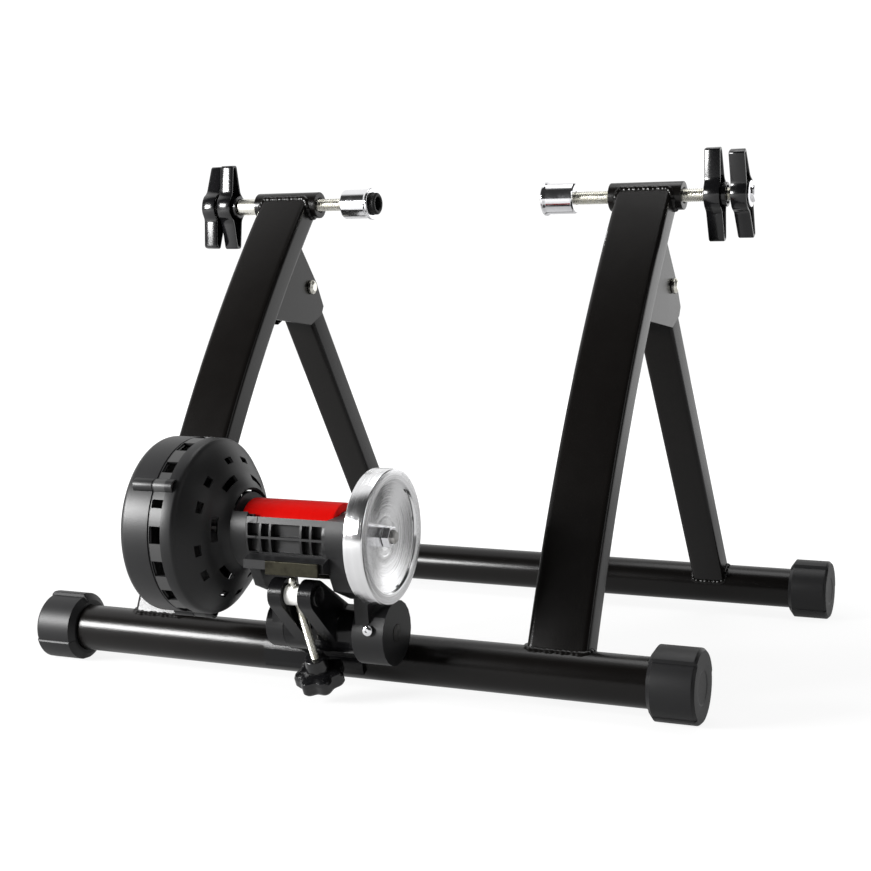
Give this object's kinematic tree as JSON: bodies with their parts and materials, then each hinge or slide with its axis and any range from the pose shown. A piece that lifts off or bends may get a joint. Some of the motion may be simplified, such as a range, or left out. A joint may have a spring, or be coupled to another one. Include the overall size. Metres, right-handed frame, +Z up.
{
  "type": "wheel-on bike trainer",
  "caption": "Folding wheel-on bicycle trainer: tube stand, threaded hub clamps and a magnetic roller unit pressed on the tyre by a jack screw.",
  "frame": {"origin": "on the floor, under the middle of the stand's overall box", "axes": "+X along the floor rails towards the flywheel side, +Y from the resistance unit towards the folding rear legs, +Z up"},
  "size_m": [0.5906, 0.608, 0.4388],
  "materials": {
    "powder_black": "semi-gloss black powder coat",
    "foot_rubber": "satin moulded rubber",
    "liner_rubber": "matt hard rubber",
    "zinc_steel": "bright zinc plate, slightly yellow",
    "chrome": "polished",
    "knob_plastic": "glossy black moulding",
    "housing_plastic": "dark grey glass-filled moulding",
    "spacer_plastic": "off-white, satin",
    "roller_red": "glossy red",
    "machined_aluminium": "turned, bright",
    "magnet_metal": "nickel plate"
  },
  "bodies": {
    "base": {"front_rail": "powder_black", "upright_left": "powder_black", "upright_right": "powder_black", "axle_sleeve_left": "powder_black", "axle_sleeve_right": "powder_black", "fold_bracket_left": "powder_black", "fold_bracket_right": "powder_black", "fold_bolt_left": "zinc_steel", "fold_bolt_right": "zinc_steel", "fold_nut_left": "zinc_steel", "fold_nut_right": "zinc_steel", "rail_bracket": "powder_black", "pivot_bolt": "zinc_steel", "pivot_nut": "zinc_steel", "spacer_collar_left": "zinc_steel"},
    "rear_frame": {"rear_rail": "powder_black", "rear_leg_left": "powder_black", "rear_leg_right": "powder_black"},
    "unit": {"drum_back_shell": "housing_plastic", "drum_front_shell": "housing_plastic", "drum_screw_1": "zinc_steel", "drum_screw_2": "zinc_steel", "drum_screw_3": "zinc_steel", "magnet_carrier": "zinc_steel", "magnet_1": "magnet_metal", "magnet_2": "magnet_metal", "magnet_3": "magnet_metal", "magnet_4": "magnet_metal", "cradle": "housing_plastic", "spindle_bearing_left": "chrome", "spindle_bearing_right": "chrome", "wear_plate": "zinc_steel", "barrel_screw": "zinc_steel"},
    "spindle": {"spindle_shaft": "zinc_steel", "roller_core": "zinc_steel", "roller_sleeve": "roller_red", "brake_rotor": "machined_aluminium", "flywheel": "machined_aluminium", "flywheel_nut": "chrome"},
    "adjuster_trunnion": {"trunnion_block": "spacer_plastic"},
    "adjuster_bolt": {"jack_bolt": "zinc_steel"},
    "adjuster_knob": {"star_knob": "knob_plastic"},
    "front_left_foot": {"foot_front_left": "foot_rubber"},
    "front_right_foot": {"foot_front_right": "foot_rubber"},
    "rear_left_foot": {"foot_rear_left": "foot_rubber"},
    "rear_right_foot": {"foot_rear_right": "foot_rubber"},
    "left_cup": {"hub_cup_left": "chrome", "cup_liner_left": "liner_rubber"},
    "left_clamp_screw": {"clamp_rod_left": "zinc_steel", "clamp_knob_left": "knob_plastic", "cap_nut_left": "chrome"},
    "left_lock": {"lock_knob_left": "knob_plastic", "lock_insert_left": "zinc_steel"},
    "right_cup": {"hub_cup_right": "chrome", "cup_liner_right": "liner_rubber"},
    "right_clamp_screw": {"clamp_rod_right": "zinc_steel", "clamp_knob_right": "knob_plastic", "cap_nut_right": "chrome"},
    "right_lock": {"lock_knob_right": "knob_plastic", "lock_insert_right": "zinc_steel"}
  },
  "joints": [
    {"name": "rear_fold", "type": "hinge", "parent": "base", "child": "rear_frame", "pos_m": [0, 0.04845, 0.3216], "axis": [-1, 0, 0], "range_deg": [0, 62]},
    {"name": "front_left_foot_turn", "type": "hinge", "parent": "base", "child": "front_left_foot", "pos_m": [-0.2873, -0.17555, 0.0271], "axis": [1, 0, 0], "continuous": true},
    {"name": "front_right_foot_turn", "type": "hinge", "parent": "base", "child": "front_right_foot", "pos_m": [0.2873, -0.17555, 0.0271], "axis": [1, 0, 0], "continuous": true},
    {"name": "rear_left_foot_turn", "type": "hinge", "parent": "rear_frame", "child": "rear_left_foot", "pos_m": [-0.2953, 0.27515, 0.0271], "axis": [1, 0, 0], "continuous": true},
    {"name": "rear_right_foot_turn", "type": "hinge", "parent": "rear_frame", "child": "rear_right_foot", "pos_m": [0.2953, 0.27515, 0.0271], "axis": [1, 0, 0], "continuous": true},
    {"name": "left_cup_slide", "type": "slide", "parent": "base", "child": "left_cup", "axis": [-1, 0, 0], "range_m": [0, 0.0255]},
    {"name": "left_clamp_turn", "type": "hinge", "parent": "left_cup", "child": "left_clamp_screw", "pos_m": [-0.09, 0.04075, 0.3987], "axis": [-1, 0, 0], "range_deg": [0, 5250]},
    {"name": "left_lock_turn", "type": "hinge", "parent": "left_cup", "child": "left_lock", "pos_m": [-0.235, 0.04075, 0.3987], "axis": [-1, 0, 0], "range_deg": [0, 400]},
    {"name": "right_cup_slide", "type": "slide", "parent": "base", "child": "right_cup", "axis": [1, 0, 0], "range_m": [-0.019, 0.031]},
    {"name": "right_clamp_turn", "type": "hinge", "parent": "right_cup", "child": "right_clamp_screw", "pos_m": [0.09, 0.04075, 0.3987], "axis": [1, 0, 0], "range_deg": [-3912, 6382]},
    {"name": "right_lock_turn", "type": "hinge", "parent": "right_cup", "child": "right_lock", "pos_m": [0.235, 0.04075, 0.3987], "axis": [1, 0, 0], "range_deg": [-3900, 960]},
    {"name": "unit_tilt", "type": "hinge", "parent": "base", "child": "unit", "pos_m": [0, -0.21355, 0.055], "axis": [-1, 0, 0], "range_deg": [0, 35]},
    {"name": "spindle_spin", "type": "hinge", "parent": "unit", "child": "spindle", "pos_m": [0, -0.23555, 0.1314], "axis": [1, 0, 0], "continuous": true},
    {"name": "trunnion_tilt", "type": "hinge", "parent": "base", "child": "adjuster_trunnion", "pos_m": [0, -0.26155, 0.0875], "axis": [-1, 0, 0], "range_deg": [0, 72.2]},
    {"name": "jack_slide", "type": "slide", "parent": "adjuster_trunnion", "child": "adjuster_bolt", "axis": [0, -0.4787, 0.878], "range_m": [0, 0.0315]},
    {"name": "star_knob_turn", "type": "hinge", "parent": "adjuster_bolt", "child": "adjuster_knob", "pos_m": [0, -0.26155, 0.0875], "axis": [0, -0.4787, 0.878], "range_deg": [0, 9060]}
  ],
  "couplings": [
    {"joint": "left_clamp_turn", "follows": "left_cup_slide", "rad_per_m": 3590.4},
    {"joint": "right_clamp_turn", "follows": "right_cup_slide", "rad_per_m": 3590.4},
    {"joint": "unit_tilt", "follows": "star_knob_turn", "ratio": 0.003863},
    {"joint": "trunnion_tilt", "follows": "star_knob_turn", "ratio": 0.0079577},
    {"joint": "jack_slide", "follows": "star_knob_turn", "m_per_rad": 0.00019894}
  ]
}
